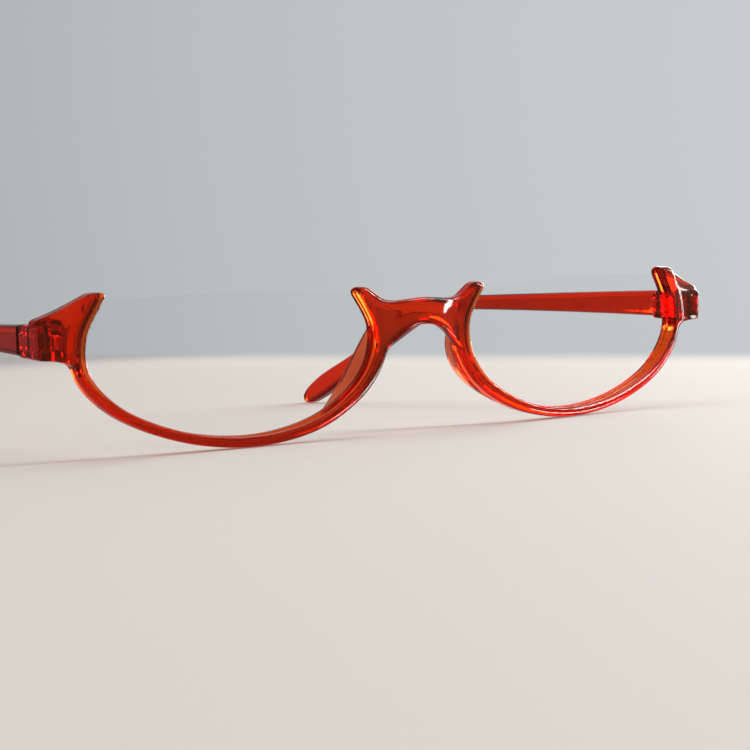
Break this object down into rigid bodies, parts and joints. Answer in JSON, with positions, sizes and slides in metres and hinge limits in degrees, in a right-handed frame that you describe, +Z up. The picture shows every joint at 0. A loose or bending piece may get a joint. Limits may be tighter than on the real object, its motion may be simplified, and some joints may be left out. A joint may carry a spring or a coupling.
{
  "type": "eyeglasses",
  "caption": "Half-rim reading glasses in transparent red-orange plastic, with open-topped rims that end in small horns, clear lenses and folding temples.",
  "frame": {"origin": "middle of the base of the box round the opened glasses, on the surface they stand on", "axes": "+X to the wearer's left, +Y from the front towards the ears, +Z up"},
  "size_m": [0.1304, 0.143, 0.0258],
  "materials": {
    "front_plastic": "polished transparent red-orange moulded plastic",
    "temple_plastic": "polished transparent red-orange moulded plastic",
    "pad_plastic": "polished transparent red-orange moulded plastic",
    "lens": "clear plastic lens with an anti-reflection coating",
    "steel": "turned steel, slightly darkened"
  },
  "bodies": {
    "front": {"front_frame": "front_plastic", "lens_left": "lens", "lens_right": "lens", "nose_pad_left": "pad_plastic", "nose_pad_right": "pad_plastic", "hinge_screw_left": "steel", "hinge_screw_right": "steel", "hinge_nut_left": "steel", "hinge_nut_right": "steel"},
    "temple_left": {"temple_left": "temple_plastic"},
    "temple_right": {"temple_right": "temple_plastic"}
  },
  "joints": [
    {"name": "temple_left_fold", "type": "hinge", "parent": "front", "child": "temple_left", "pos_m": [0.0617, -0.05776, 0.0186], "axis": [0, -0.0772, 0.997], "range_deg": [0, 87]},
    {"name": "temple_right_fold", "type": "hinge", "parent": "front", "child": "temple_right", "pos_m": [-0.0617, -0.05776, 0.0186], "axis": [0, 0.0772, -0.997], "range_deg": [0, 82]}
  ]
}
